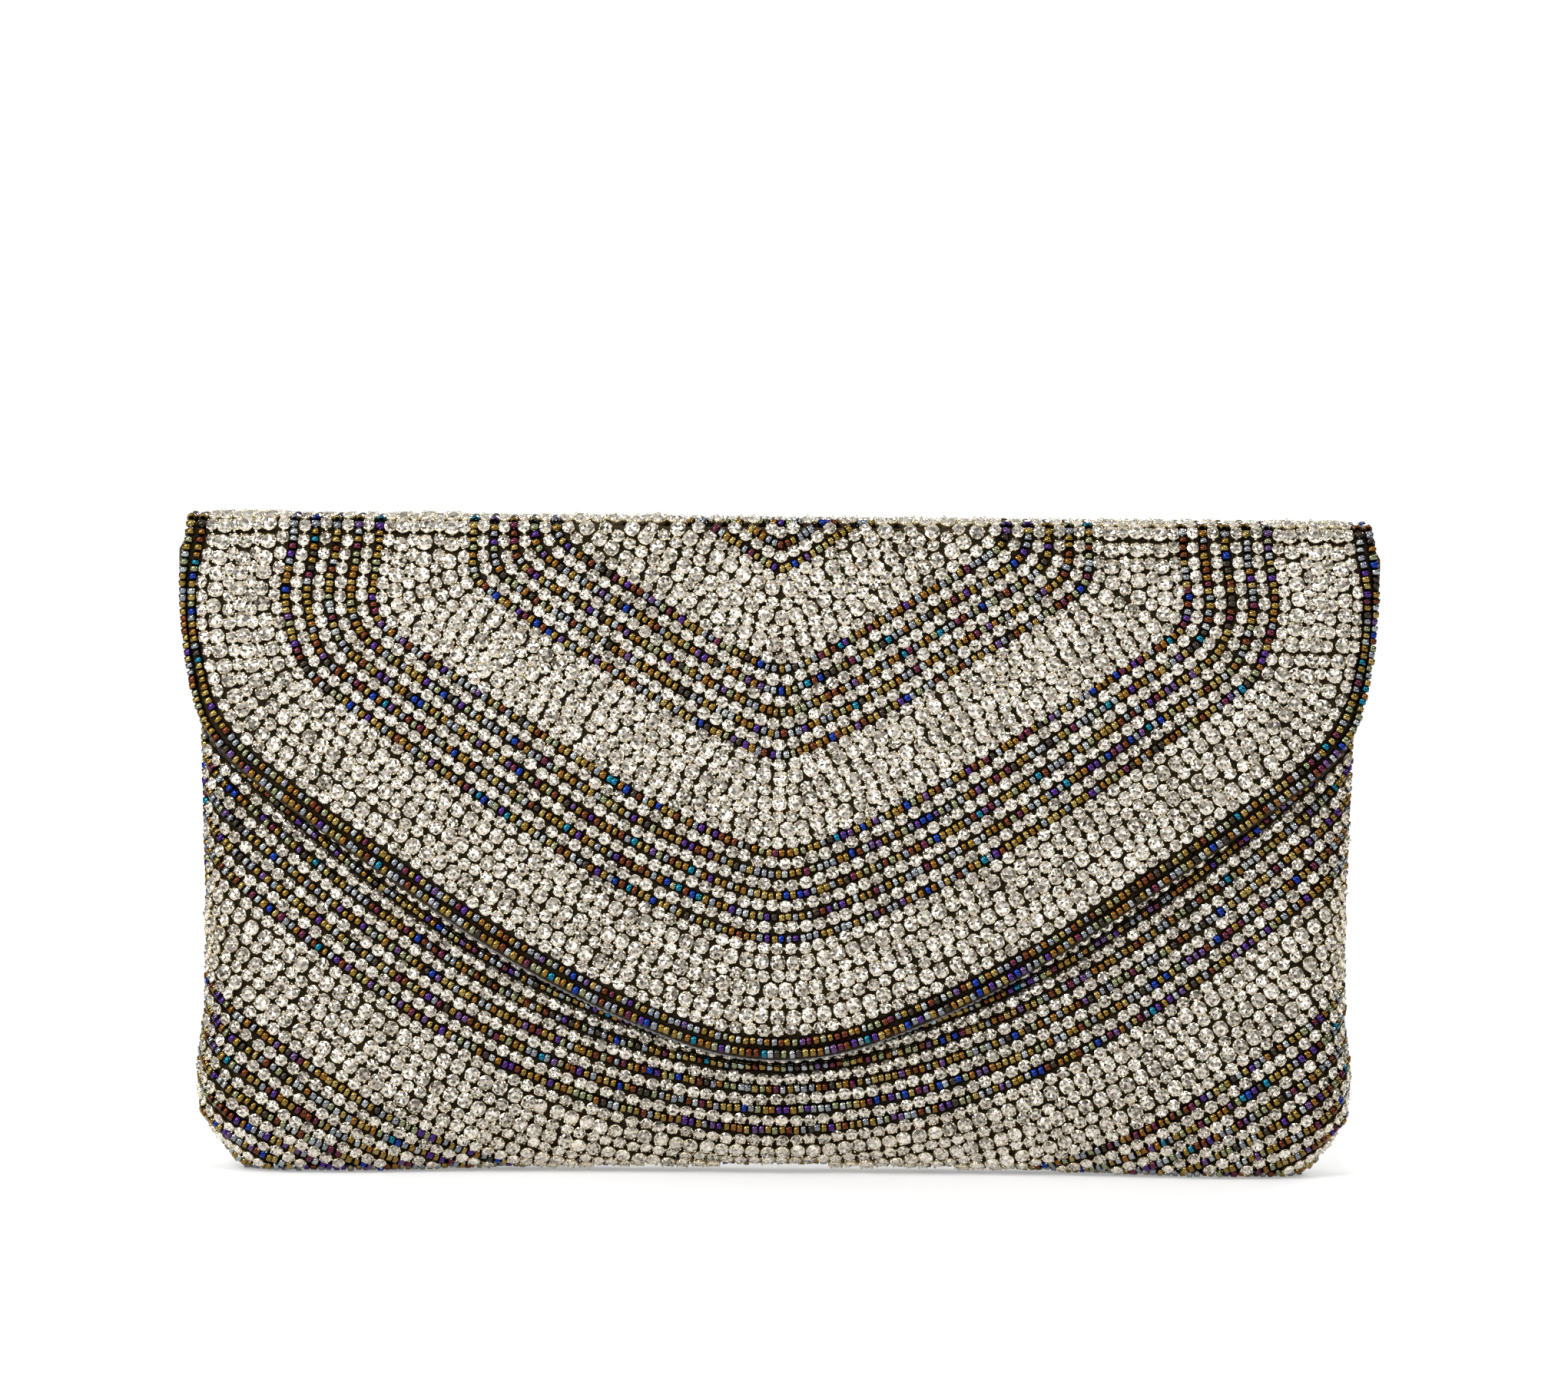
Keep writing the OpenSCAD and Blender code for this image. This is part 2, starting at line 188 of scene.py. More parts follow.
def new_material(name, **values):
    material = bpy.data.materials.new(name)
    material.use_nodes = True
    shader = material.node_tree.nodes["Principled BSDF"]
    for key, value in values.items():
        shader.inputs[key].default_value = value
    return material, material.node_tree, shader


def link(source, target):
    source.id_data.links.new(source, target)


def add_node(tree, kind, **settings):
    node = tree.nodes.new(kind)
    for key, value in settings.items():
        if key in node.inputs:
            node.inputs[key].default_value = value
        else:
            setattr(node, key, value)
    return node


def ramp(tree, source, stops, interpolation="LINEAR"):
    """The colour that a value stands for, as output sockets."""
    node = tree.nodes.new("ShaderNodeValToRGB")
    node.color_ramp.interpolation = interpolation
    elements = node.color_ramp.elements
    while len(elements) < len(stops):
        elements.new(0.5)
    for element, (at, colour) in zip(elements, stops):
        element.position = at
        element.color = (*colour, 1)
    link(source, node.inputs["Fac"])
    return node.outputs["Color"]


def multiply(tree, first, second):
    """The product of two colours, as output sockets."""
    node = add_node(tree, "ShaderNodeMix", data_type="RGBA", blend_type="MULTIPLY")
    node.inputs[0].default_value = 1.0
    link(first, node.inputs[6])
    link(second, node.inputs[7])
    return node.outputs[2]


def face_value(tree, name):
    return add_node(tree, "ShaderNodeAttribute", attribute_name=name).outputs["Fac"]


def noise(tree, scale, detail):
    return add_node(tree, "ShaderNodeTexNoise", Scale=scale, Detail=detail).outputs["Fac"]


def add_bump(tree, shader, height, strength, distance):
    bump = add_node(tree, "ShaderNodeBump", Strength=strength, Distance=distance)
    link(height, bump.inputs["Height"])
    link(bump.outputs["Normal"], shader.inputs["Normal"])


BEAD_MIX = [
    # gold, pale gold, bronze; steel, silver, sage; copper, near black, wine; purple, blue, mauve, teal
    (0.00, (0.234, 0.146, 0.033)), (0.18, (0.306, 0.218, 0.068)), (0.29, (0.218, 0.1, 0.021)),
    (0.38, (0.217, 0.233, 0.259)), (0.52, (0.349, 0.375, 0.379)), (0.61, (0.233, 0.243, 0.135)),
    (0.71, (0.124, 0.037, 0.016)), (0.77, (0.05, 0.04, 0.029)), (0.82, (0.113, 0.026, 0.046)),
    (0.865, (0.072, 0.03, 0.17)), (0.91, (0.015, 0.039, 0.261)), (0.945, (0.115, 0.062, 0.166)),
    (0.98, (0.015, 0.152, 0.235)),
]
# painted glints: greys for the stones' facets, from near black to near white, standing in for reflections
# of the lights
STONE_PAINTED_GLINTS = [
    (0.0, (0.10, 0.088, 0.070)), (0.12, (0.30, 0.27, 0.23)), (0.30, (0.56, 0.51, 0.44)),
    (0.56, (0.80, 0.75, 0.66)), (0.80, (0.97, 0.93, 0.86)), (0.988, (0.95, 0.55, 0.30)),
]


def bead_material():
    """Metallic-lustre seed beads: each bead takes one colour of the mix, by its tint."""
    material, tree, shader = new_material("beads", Metallic=1.0, Roughness=0.10)
    colours = ramp(tree, face_value(tree, "tint"), BEAD_MIX, "CONSTANT")
    wear = ramp(tree, noise(tree, 900.0, 3.0), [(0.3, (0.72, 0.72, 0.72)), (0.7, (1, 1, 1))])
    shaded = multiply(tree, multiply(tree, colours, wear), face_value(tree, "rim_shade"))
    link(shaded, shader.inputs["Base Color"])
    return material


def stone_material():
    """Foiled glass with painted glints: each facet its own grey, from near black to near white, a few with
    a warm or grey cast, standing in for reflections.
    """
    material, tree, shader = new_material("stones", Metallic=0.92, Roughness=0.07)
    colours = ramp(tree, face_value(tree, "tint"), STONE_PAINTED_GLINTS, "CONSTANT")
    clouds = ramp(tree, noise(tree, 700.0, 2.0), [(0.35, (0.72, 0.70, 0.66)), (0.6, (1, 1, 1))])
    link(multiply(tree, colours, clouds), shader.inputs["Base Color"])
    return material


def setting_material():
    """Pale champagne metal of the cups, claws and links."""
    material, tree, shader = new_material("settings", Metallic=1.0, Roughness=0.24)
    colours = ramp(tree, noise(tree, 350.0, 4.0), [(0.3, (0.50, 0.42, 0.27)), (0.62, (0.84, 0.77, 0.60))])
    link(colours, shader.inputs["Base Color"])
    return material


def woven_material(name, dark, light, threads_per_m, strength, **values):
    """Cloth woven of two sets of threads, by the object's own coordinates."""
    material, tree, shader = new_material(name, **values)
    place = add_node(tree, "ShaderNodeTexCoord").outputs["Object"]
    weave = add_node(tree, "ShaderNodeMath", operation="MULTIPLY")
    for k, direction in enumerate("XZ"):
        wave = add_node(tree, "ShaderNodeTexWave", bands_direction=direction,
                        Scale=threads_per_m / 6.28 * 2, Distortion=0.6)
        wave.inputs["Detail Scale"].default_value = 40.0
        link(place, wave.inputs["Vector"])
        link(wave.outputs["Fac"], weave.inputs[k])
    stain = add_node(tree, "ShaderNodeTexNoise", Scale=60.0, Detail=5.0)
    link(place, stain.inputs["Vector"])
    total = add_node(tree, "ShaderNodeMath", operation="ADD")
    link(weave.outputs[0], total.inputs[0])
    link(stain.outputs["Fac"], total.inputs[1])
    colours = ramp(tree, total.outputs[0], [(0.35, dark), (1.0, light)])
    link(colours, shader.inputs["Base Color"])
    add_bump(tree, shader, weave.outputs[0], strength, 0.0002)
    return material


def speckled_material(name, dark, light, scale, **values):
    """A plain solid with fine mottling, for metal, board and cord."""
    material, tree, shader = new_material(name, **values)
    mottle = noise(tree, scale, 5.0)
    link(ramp(tree, mottle, [(0.3, dark), (0.7, light)]), shader.inputs["Base Color"])
    add_bump(tree, shader, mottle, 0.15, 0.0001)
    return material


BEADS = bead_material()
STONES = stone_material()
SETTINGS = setting_material()
CLOTH = woven_material("cloth", (0.014, 0.009, 0.004), (0.046, 0.033, 0.014), 2200, 0.5,
                       **{"Roughness": 0.85, "Specular IOR Level": 0.15})
LINING = woven_material("lining", (0.008, 0.008, 0.009), (0.024, 0.023, 0.026), 3800, 0.12, Roughness=0.36)
BOARD = speckled_material("board", (0.40, 0.36, 0.29), (0.55, 0.51, 0.43), 500.0, Roughness=0.85)
CORD = speckled_material("cord", (0.10, 0.10, 0.11), (0.34, 0.34, 0.35), 1500.0,
                         Metallic=0.7, Roughness=0.4)
NICKEL = speckled_material("nickel", (0.62, 0.60, 0.56), (0.78, 0.76, 0.72), 250.0,
                           Metallic=1.0, Roughness=0.22)


# ---- the body's surface ----

FULL_Z = 38.0           # height at which the body is fullest
CURL_H = 26.0           # height over which the lower body curls under
CURL_SHARE = 0.34       # the curl's share of the way from the base to the mouth
SIDE_ROLL = 13.0        # radius of the roll into the side seams
ROLL_POWER = 0.9
FLAT_SHARE = 0.84       # the share of the width between the two rolls
ARCH_H, ARCH_HALF_W = 1.4, 98.0
BASE_HALF_D, SEAM_HALF_D = 6.5, 1.2
ABOUT_HALF_W = 126      # half width of the base, near enough to shape the bottom edge by


def half_width(z):
    """Half width of the body's silhouette, pushed in at the bottom corners."""
    return np.interp(z, [BASE_Z, 8, 14, 24, 36, 60, 90, 115, MOUTH_Z],
                     [121.5, 126.2, 130.2, 130.8, 129.2, 128.9, 129.8, 130.6, MOUTH_HALF_W + 1.5])


def bottom_z(x):
    """Height of the bottom edge, arched between the corners."""
    return BASE_Z + ARCH_H * (1 + np.cos(np.pi * np.minimum(np.abs(x) / ARCH_HALF_W, 1))) / 2


def base_half(x):
    """Half depth of the base: a seam in the middle, a flat foot at each corner."""
    return SEAM_HALF_D + (BASE_HALF_D - SEAM_HALF_D) * smoothstep(np.abs(x), 55, 100)


def foot_depth(x):
    """Half depth of the base, drawn in where the bottom corners round off."""
    in_roll = np.clip((np.abs(x) - (half_width(BASE_Z) - SIDE_ROLL)) / SIDE_ROLL, 0, 1)
    return base_half(x) * np.cos(np.arcsin(in_roll)) ** ROLL_POWER


def full_depth(z, side):
    """Half depth of the body's middle, which narrows from the fullest height up to the mouth."""
    wall = (BODY_HALF_D - MOUTH_HALF_D[side]) / (MOUTH_Z - FULL_Z)
    return BODY_HALF_D - wall * np.maximum(z - FULL_Z, 0)


def lumps(x, z):
    """Slight unevenness of hand-sewn, padded cloth."""
    return (0.35 * np.sin(x / 17.0 + 0.8) * np.sin(z / 21.0 + 0.4)
            + 0.22 * np.sin(x / 7.3 + 2.0) * np.cos(z / 9.1) + 0.12 * np.sin(x / 3.9) * np.sin(z / 4.7))


def body_points(a, t, side, inset=0.0, top=MOUTH_Z):
    """Points of the body's shell: a runs from seam to seam, t from the bottom seam to the mouth."""
    a, t = np.broadcast_arrays(np.asarray(a, float), np.asarray(t, float))
    rough_x = ABOUT_HALF_W * a
    low = bottom_z(rough_x) + inset
    angle = np.clip(t / CURL_SHARE, 0, 1) * np.pi / 2
    above = np.clip((t - CURL_SHARE) / (1 - CURL_SHARE), 0, 1)
    z_curl = low + (CURL_H - inset) * (1 - np.cos(angle))
    z = np.where(t < CURL_SHARE, z_curl, (low + CURL_H - inset) * (1 - above) + top * above)
    foot = np.maximum(base_half(rough_x) - inset, 0.25)
    depth = foot + (full_depth(z, side) - inset - foot) * np.sin(angle)
    w = half_width(z) - inset
    roll = SIDE_ROLL - inset
    turn = np.clip((np.abs(a) - FLAT_SHARE) / (1 - FLAT_SHARE), 0, 1) * np.pi / 2
    x = np.sign(a) * np.where(np.abs(a) <= FLAT_SHARE, np.abs(a) / FLAT_SHARE * (w - roll),
                              w - roll + roll * np.sin(turn))
    depth = depth * np.cos(turn) ** ROLL_POWER
    swell = lumps(x, z) * np.sin(angle) * np.cos(turn) * smoothstep(MOUTH_Z + 2 - z, 0, 25)
    y = MID_Y + side * (depth + swell + CLOTH_PROUD)
    return xyz(x, y, z)


class BodySurface:
    """The body's outer cloth on one side, with flat lengths measured along it."""

    def __init__(self, side, top, v_top):
        self.side = side
        self.v_top = v_top
        self.last_a, self.last_t = 360, 260
        self.step_a, self.step_t = 2 / self.last_a, 1 / self.last_t
        a = np.linspace(-1, 1, self.last_a + 1)
        t = np.linspace(0, 1, self.last_t + 1)
        self.points = body_points(a[None, :], t[:, None], side, top=top)
        u = lengths_along(self.points, 1)
        v = lengths_along(self.points, 0)
        self.u = u - u[:, [self.last_a // 2]]
        self.v = v_top - (v[-1:, :] - v)

    def sample(self, grid, a, t):
        i = np.clip((a + 1) / 2 * self.last_a, 0, self.last_a - 0.001)
        j = np.clip(t * self.last_t, 0, self.last_t - 0.001)
        i0, j0 = i.astype(int), j.astype(int)
        fi, fj = i - i0, j - j0
        if grid.ndim == 3:
            fi, fj = fi[:, None], fj[:, None]
        low = grid[j0, i0] * (1 - fi) + grid[j0, i0 + 1] * fi
        high = grid[j0 + 1, i0] * (1 - fi) + grid[j0 + 1, i0 + 1] * fi
        return low * (1 - fj) + high * fj

    def change_by_a(self, grid, a, t):
        ahead, behind = np.minimum(a + self.step_a, 1), np.maximum(a - self.step_a, -1)
        return self.sample(grid, ahead, t) - self.sample(grid, behind, t)

    def change_by_t(self, grid, a, t):
        ahead, behind = np.minimum(t + self.step_t, 1), np.maximum(t - self.step_t, 0)
        return self.sample(grid, a, ahead) - self.sample(grid, a, behind)

    def place(self, u, v):
        """Points, outward normals and a mask of what lies on the surface, for flat coordinates."""
        a = np.clip(u / 140, -1, 1)
        t = np.clip(1 + (v - self.v_top) / 175, 0, 1)
        for _ in range(12):
            miss_u = u - self.sample(self.u, a, t)
            miss_v = v - self.sample(self.v, a, t)
            du = np.maximum(self.change_by_a(self.u, a, t), 1e-3)
            dv = np.maximum(self.change_by_t(self.v, a, t), 1e-3)
            a = np.clip(a + 0.9 * miss_u / du * 2 * self.step_a, -1, 1)
            t = np.clip(t + 0.9 * miss_v / dv * 2 * self.step_t, 0, 1)
        miss = np.maximum(np.abs(u - self.sample(self.u, a, t)), np.abs(v - self.sample(self.v, a, t)))
        across, up = self.change_by_a(self.points, a, t), self.change_by_t(self.points, a, t)
        normal = unit(np.cross(across, up)) * (1 if self.side < 0 else -1)
        return self.sample(self.points, a, t), normal, miss < 0.4


BODY_V_MOUTH = FULL_Z + math.hypot(MOUTH_Z - FULL_Z, BODY_HALF_D - MOUTH_HALF_D[-1])


# ---- the flap's surface ----

ROLL_FROM, ROLL_R = 124.0, 12.5


def flap_points(u, v, out):
    """Points on the flap, whose sides roll back: u across, v up from its point, out from its plane."""
    u, v, out = np.broadcast_arrays(np.asarray(u, float), np.asarray(v, float), np.asarray(out, float))
    down = FLAP_DROP - v
    rolled = smoothstep(down, 0, 26)
    turn = np.maximum(np.abs(u) - ROLL_FROM, 0) / ROLL_R
    x_roll = np.minimum(np.abs(u), ROLL_FROM) + (ROLL_R + out) * np.sin(turn)
    x = np.sign(u) * (np.abs(u) * (1 - rolled) + x_roll * rolled)
    uneven = (0.30 * np.sin(u / 23.0 + 1.0) * np.sin(v / 19.0)
              + 0.18 * np.sin(u / 8.1) * np.sin(v / 7.7 + 1.3))
    w = out - (ROLL_R + out) * (1 - np.cos(turn)) * rolled + uneven * smoothstep(down, 1, 20)
    y = FRONT_FOLD[1] - down * math.sin(TILT) - w * math.cos(TILT)
    z = FOLD_Z - down * math.cos(TILT) + w * math.sin(TILT)
    return xyz(x, y, z)


def lean_out(normal, towards, distance, degrees=17):
    """Normals near a fold lean out over it, as beads sewn round an edge do."""
    lean = math.tan(math.radians(degrees)) * (1 - smoothstep(distance, 0.8, 7))
    return unit(normal + lean[:, None] * np.array(towards, float))


def place_on_flap(u, v):
    here = flap_points(u, v, CLOTH_OUT)
    step = 0.2
    across = flap_points(u + step, v, CLOTH_OUT) - flap_points(u - step, v, CLOTH_OUT)
    up = flap_points(u, v + step, CLOTH_OUT) - flap_points(u, v - step, CLOTH_OUT)
    normal = lean_out(unit(np.cross(across, up)), [0, 0, 1], FLAP_DROP - v)
    return here, normal, np.ones(len(here), bool)


def place_on_strip(u, v):
    """The top strip between the two folds, v counted on from the flap's."""
    y = FRONT_FOLD[1] + (v - FLAP_DROP)
    here = xyz(u, y, FOLD_Z + CLOTH_T)
    normal = np.tile([0.0, 0.0, 1.0], (len(u), 1))
    normal = lean_out(normal, [0, -1, 0], v - FLAP_DROP - 1, 14)
    normal = lean_out(normal, [0, 1, 0], FLAP_DROP + STRIP_W - v - 1, 14)
    return here, normal, np.ones(len(u), bool)


# ---- the pattern: rows parallel to a boundary ----

# degrees that each line has turned from level, against its length from the middle
EDGE_TURN = ((0, 0), (22, 20), (75, 33), (139, 37), (159, 78), (187, 92), (205, 96))
FRONT_TURN = ((0, 0), (10, 6), (34, 14.6), (57, 23), (74, 28), (91, 33), (108, 35.5), (130, 39), (170, 46))
LINE_STEP = 0.5
RING_TOP = FLAP_DROP + STRIP_W / 2


def walk(turn, length):
    """A line that starts level in the middle and turns by the angles given against its length."""
    step = 0.25
    at = np.arange(0, length, step) + step / 2
    angle = np.radians(np.interp(at, *zip(*turn)))
    moves = np.stack([np.cos(angle), np.sin(angle)], -1) * step
    return np.concatenate([[[0, 0]], np.cumsum(moves, axis=0)])


def flap_half_edge():
    """Half of the flap's edge in flat coordinates, up to the middle of the top strip."""
    line = walk(EDGE_TURN, 240)
    line[:, 0] *= (FLAP_HALF_W - 0.2) / line[:, 0].max()
    over = np.clip(line[:, 0] - ROLL_FROM, 0, ROLL_R * 0.97)
    line[:, 0] = np.where(over > 0, ROLL_FROM + ROLL_R * np.arcsin(over / ROLL_R), line[:, 0])
    line = line[:np.argmax(line[:, 1] > RING_TOP) or len(line)]
    near_top = line[:, 1] > FLAP_DROP - 4
    line[near_top, 0] = np.minimum(line[near_top, 0], FLAP_HALF_W)
    return line


HALF_EDGE = flap_half_edge()


def mirrored(line):
    return np.concatenate([line[::-1] * [-1, 1], line[1:]])


def points_at(line, at, want):
    """Points of a line at the lengths wanted, from the lengths of its own points."""
    return np.stack([np.interp(want, at, line[:, k]) for k in range(line.shape[1])], -1)


def resample(line, step, closed=False):
    if closed:
        line = np.concatenate([line, line[:1]])
    gap = np.linalg.norm(np.diff(line, axis=0), axis=1)
    keep = np.concatenate([[True], gap > 1e-6])
    line, gap = line[keep], gap[gap > 1e-6]
    at = np.concatenate([[0], np.cumsum(gap)])
    return points_at(line, at, np.linspace(0, at[-1], max(2, int(at[-1] / step) + 1)))


def sideways(line, closed):
    """Unit vectors square to a flat line, on its left."""
    ahead = np.roll(line, -1, axis=0) if closed else np.concatenate([line[1:], line[-1:]])
    behind = np.roll(line, 1, axis=0) if closed else np.concatenate([line[:1], line[:-1]])
    along = unit(ahead - behind)
    return np.stack([-along[:, 1], along[:, 0]], -1)


def smooth_line(line, sigma, closed):
    reach = int(3 * sigma)
    kernel = np.exp(-0.5 * (np.arange(-reach, reach + 1) / sigma) ** 2)
    kernel /= kernel.sum()
    if closed:
        padded = np.concatenate([line[-reach:], line, line[:reach]])
    else:
        first = 2 * line[0] - line[reach:0:-1]
        last = 2 * line[-1] - line[-2:-reach - 2:-1]
        padded = np.concatenate([first, line, last])
    return np.stack([np.convolve(padded[:, k], kernel, "valid") for k in range(2)], -1)


def nearest_squared(points, line):
    """The square of each point's distance from the nearest point of a line."""
    out = np.empty(len(points))
    for start in range(0, len(points), 400):
        gap = points[start:start + 400, None] - line
        out[start:start + 400] = (gap ** 2).sum(-1).min(1)
    return out


def offset_line(line, by, closed, soften):
    """The line moved sideways by a distance, without the loops that a tight corner would make."""
    moved = line + by * sideways(line, closed)
    stride = 1 if abs(by) < 12 else 5
    moved = moved[nearest_squared(moved, line[::stride]) > (abs(by) - 0.05) ** 2]
    if len(moved) < 12:
        return None
    moved = resample(moved, LINE_STEP, closed)
    return smooth_line(moved[:-1] if closed else moved, soften / LINE_STEP, closed)


def runs(line, mask, closed):
    """The stretches of a line where the mask is true."""
    if mask.all():
        return [line]
    if closed:
        first = int(np.argmin(mask))
        line, mask = np.roll(line, -first, axis=0), np.roll(mask, -first)
    edges = np.flatnonzero(np.diff(np.concatenate([[False], mask, [False]]).astype(int)))
    return [line[a:b] for a, b in zip(edges[::2], edges[1::2]) if b - a >= 3]


def spaced(line, pitch):
    """Places a pitch apart along a stretch, with the direction of the line at each."""
    at = lengths_along(line)
    count = int(round(at[-1] / pitch)) + 1
    want = np.linspace(0, at[-1], count) if count > 1 else np.array([at[-1] / 2])
    ahead, behind = points_at(line, at, want + 0.4), points_at(line, at, want - 0.4)
    return points_at(line, at, want), unit(ahead - behind)


KINDS = {"bead": (BEAD_D, BEAD_PITCH), "small": (SMALL_D, SMALL_PITCH),
         "large": (LARGE_D, LARGE_PITCH)}       # diameter and pitch
STONE_KINDS = ("small", "large")
BEAD_KINDS = ("bead", "small")
STONE_LIFT = {"small": 0.58, "large": 0.32}      # cups stand a little proud of the beads
ALONG = {"small": 1.0, "large": 0.94}            # large stones are set close along their row
STONE_STEP, BEAD_STEP = 3.06, 2.44
FIRST_BORDER, FIRST_STONE, FIRST_BEAD, PERIOD = 1.45, 6.6, 27.25, 42.4
CROWD_FROM, CROWD = 45.0, 0.925                  # inner rows lie a little closer together
INNERMOST = 104.0                                # from here in, the rows are smoothed less


def alternate(start, step, kinds, count):
    """Rows a step apart, of two kinds by turns."""
    return [(start + k * step, kinds[k % 2]) for k in range(count)]


collected = {}          # piece name -> list of (kind, points, normals, tangents)


def collect(piece, kind, here, normal, tangent):
    if len(here):
        collected.setdefault(piece, []).append((kind, here, normal, tangent))


def lay_row(piece, kind, line, place):
    """Sets one row of beads or stones along a flat line on a surface."""
    here, along = spaced(line, KINDS[kind][1])
    points, normals, on = place(here[:, 0], here[:, 1])
    ahead, _, _ = place(*(here + 0.3 * along).T)
    behind, _, _ = place(*(here - 0.3 * along).T)
    tangent = unit(ahead - behind)
    collect(piece, kind, points[on], normals[on], tangent[on])


# the room that rows leave at a fold: below it, and on the strip above it
FOLD_CLEAR = {"bead": (-0.15, 1.45), "small": (-0.1, 2.15), "large": (0.2, 2.5)}
# the flap's edge and its mirror image in the middle of the top strip, as one ring
EDGE = mirrored(HALF_EDGE)
RING = resample(np.concatenate([EDGE, EDGE[::-1] * [1, -1] + [0, 2 * RING_TOP]]), LINE_STEP, True)[:-1]
back_surface = BodySurface(+1, FOLD_Z, 0.0)
front_surface = BodySurface(-1, MOUTH_Z, BODY_V_MOUTH)


def clear_of_seams(points, side):
    """Leaves room for the rows of beads along the side seams and round the base."""
    x, z = points[:, 0], points[:, 2]
    depth = side * (points[:, 1] - MID_Y)
    room = np.where(np.abs(x) > half_width(z) - 12, 2.7, 0)
    return (depth > room) & ~((z < bottom_z(x) + 3) & (depth < foot_depth(x) + 0.9))


def place_on_back(u, v):
    """The back, v counted on from the strip's and running down the back."""
    here, normal, on = back_surface.place(u, -(v - FLAP_DROP - STRIP_W))
    normal = lean_out(normal, [0, 0, 1], v - FLAP_DROP - STRIP_W)
    return here, normal, on & clear_of_seams(here, 1)


def crowd(line):
    """The rows crowd together towards the sides, where they run up to the fold."""
    u, v = line[:, 0], np.minimum(line[:, 1], 2 * RING_TOP - line[:, 1])
    depth = FLAP_HALF_W - np.abs(u)
    amount = 2.5 * smoothstep(v, 70, 108) * smoothstep(depth, 4, 22) * smoothstep(np.abs(u), 25, 55)
    return np.stack([u + np.sign(u) * amount, line[:, 1]], -1)


def lay_ring_row(name, by, kind):
    """One row that runs round the flap, over the strip and down the back."""
    if by > CROWD_FROM:
        by = CROWD_FROM + (by - CROWD_FROM) * CROWD
    if by > 0:
        line = offset_line(RING, by, True, soften=3.0 if by < INNERMOST else 1.0)
    else:
        line = resample(RING + by * sideways(RING, True), LINE_STEP, True)[:-1]
    if line is None:
        return
    line = crowd(line) if by > 5 else line
    v = line[:, 1]
    below, above = FOLD_CLEAR[kind]
    rear = FLAP_DROP + STRIP_W
    zones = {
        "flap": (v < FLAP_DROP - below, place_on_flap),
        "strip": ((v > FLAP_DROP + above) & (v < rear - above), place_on_strip),
        "back": (v > rear + max(below, 0.05), place_on_back),
    }
    for zone, (mask, place) in zones.items():
        if by > 0 or zone == "back":
            for stretch in runs(line, mask, True):
                lay_row(f"{zone}_{name}", kind, stretch, place)


def lay_pattern():
    bands = [("border", [(FIRST_BORDER, "bead"), (3.9, "bead")])]
    for band, name in enumerate(("outer", "middle", "inner")):
        bands.append((f"{name}_stones", alternate(FIRST_STONE + band * PERIOD, STONE_STEP, STONE_KINDS, 7)))
        bands.append((f"{name}_beads", alternate(FIRST_BEAD + band * PERIOD, BEAD_STEP, BEAD_KINDS, 9)))
    # the back's rows go on below the mirrored point
    bands.append(("rim_beads", alternate(FIRST_BORDER - BEAD_STEP, -BEAD_STEP, ("small", "bead"), 7)))
    bands.append(("rim_stones", alternate(-18.0, -STONE_STEP, STONE_KINDS, 7)))
    bands.append(("lower_beads", alternate(-38.6, -BEAD_STEP, BEAD_KINDS, 17)))
    for name, rows in bands:
        for by, kind in rows:
            lay_ring_row(name, by, kind)


# the front's pattern

FRONT_RIM_Z = 11.0      # flat height of the front's boundary in the middle
UNDER_FLAP = 11.0       # the front's rows run this far in under the flap
FRONT_TOP_Z = 112.0     # and stop at this height


def inside_flap(x, z):
    """Distance in from the flap's edge, seen from the front; negative outside it."""
    edge = np.stack([EDGE[:, 0], FOLD_Z - (FLAP_DROP - EDGE[:, 1]) * math.cos(TILT)], -1)
    away = np.sqrt(nearest_squared(np.stack([x, z], -1), edge[::3]))
    right = edge[len(edge) // 2:]
    return np.where(z > np.interp(np.abs(x), right[:, 0], right[:, 1]), away, -away)


def place_on_front(u, v):
    here, normal, on = front_surface.place(u, v)
    seen = (inside_flap(here[:, 0], here[:, 2]) < UNDER_FLAP) & (here[:, 2] < FRONT_TOP_Z)
    return here, normal, on & seen & clear_of_seams(here, -1)


def lay_front():
    line = resample(mirrored(walk(FRONT_TURN, 205)) + [0, FRONT_RIM_Z], LINE_STEP)
    bands = {
        "upper_beads": alternate(0.0, BEAD_STEP, BEAD_KINDS, 40),
        "stones": alternate(-2.45, -3.1, STONE_KINDS, 7),
        "lower_beads": alternate(-23.45, -BEAD_STEP, BEAD_KINDS, 27),
    }
    for name, rows in bands.items():
        for by, kind in rows:
            moved = offset_line(line, by, False, soften=2.0) if by else resample(line, LINE_STEP)
            if moved is not None:
                lay_row(f"front_{name}", kind, moved, place_on_front)


def lay_free_row(piece, line, normal):
    """Sets a row of seed beads along a line in space."""
    at = lengths_along(line)
    here = points_at(line, at, np.linspace(0, at[-1], max(2, int(round(at[-1] / BEAD_PITCH)))))
    along = unit(np.stack([np.gradient(here[:, k]) for k in range(3)], -1))
    n = np.tile(unit(np.array(normal)), (len(here), 1))
    n = unit(n - (n * along).sum(-1, keepdims=True) * along)
    collect(piece, "bead", here, n, along)


